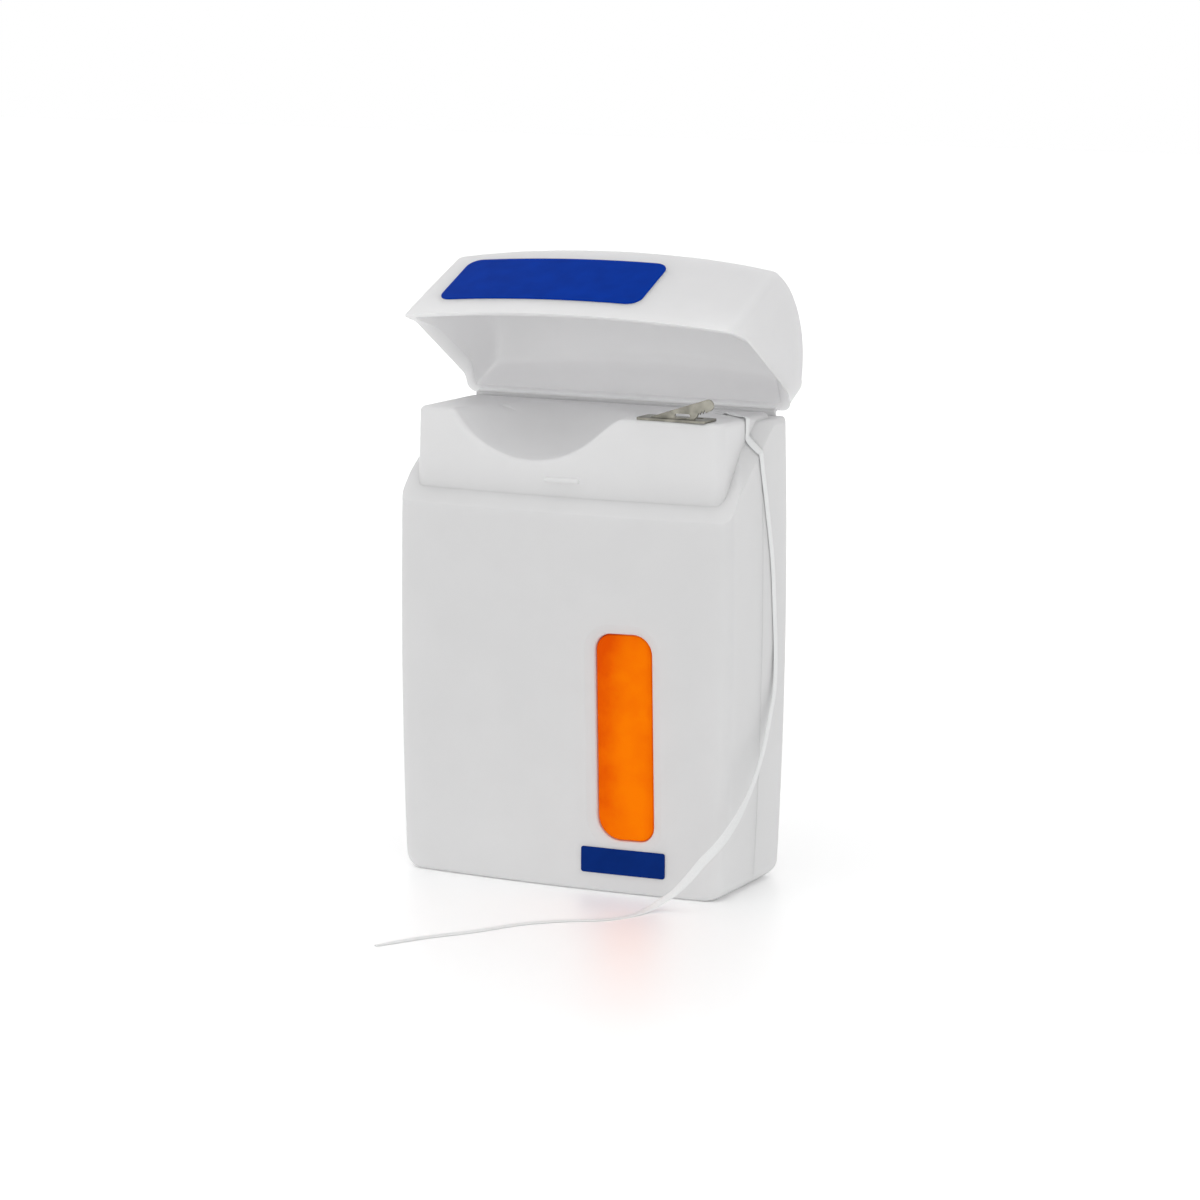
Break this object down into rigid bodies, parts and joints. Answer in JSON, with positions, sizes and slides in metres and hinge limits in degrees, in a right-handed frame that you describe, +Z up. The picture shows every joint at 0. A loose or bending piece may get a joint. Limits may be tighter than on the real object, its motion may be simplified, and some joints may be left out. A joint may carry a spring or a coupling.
{
  "type": "dental floss dispenser",
  "caption": "Flat plastic floss box with a flip-top cap on a living hinge, an amber window, a spool inside, a metal thread cutter and a strand hanging out.",
  "frame": {"origin": "middle of the case's base, on the surface it stands on", "axes": "+X to the right seen from the front, -Y towards the front face with the window, +Z up; stored with the cap open by 66 degrees"},
  "size_m": [0.0444, 0.0606, 0.0723],
  "materials": {
    "case": "satin moulded white",
    "head": "satin moulded white",
    "cap": "satin moulded white",
    "steel": "bright sheet metal",
    "window": "glossy amber, see-through",
    "spool": "moulded white",
    "floss": "waxed flat strand",
    "label": "plain blue printed patch"
  },
  "bodies": {
    "case": {"front_shell": "case", "rear_shell": "case", "dispensing_head": "head", "living_hinge": "case", "cutter": "steel", "window_pane": "window", "front_label": "label", "floss_lead": "floss", "floss_tail": "floss"},
    "cap": {"cap": "cap", "cap_label": "label"},
    "spool": {"spool_core": "spool", "floss_winding": "floss"}
  },
  "joints": [
    {"name": "cap_hinge", "type": "hinge", "parent": "case", "child": "cap", "pos_m": [0, 0.0085, 0.0545], "axis": [-1, 0, 0], "range_deg": [-66, 50]},
    {"name": "spool_spin", "type": "hinge", "parent": "case", "child": "spool", "pos_m": [0, 0, 0.0195], "axis": [0, 1, 0], "continuous": true}
  ]
}
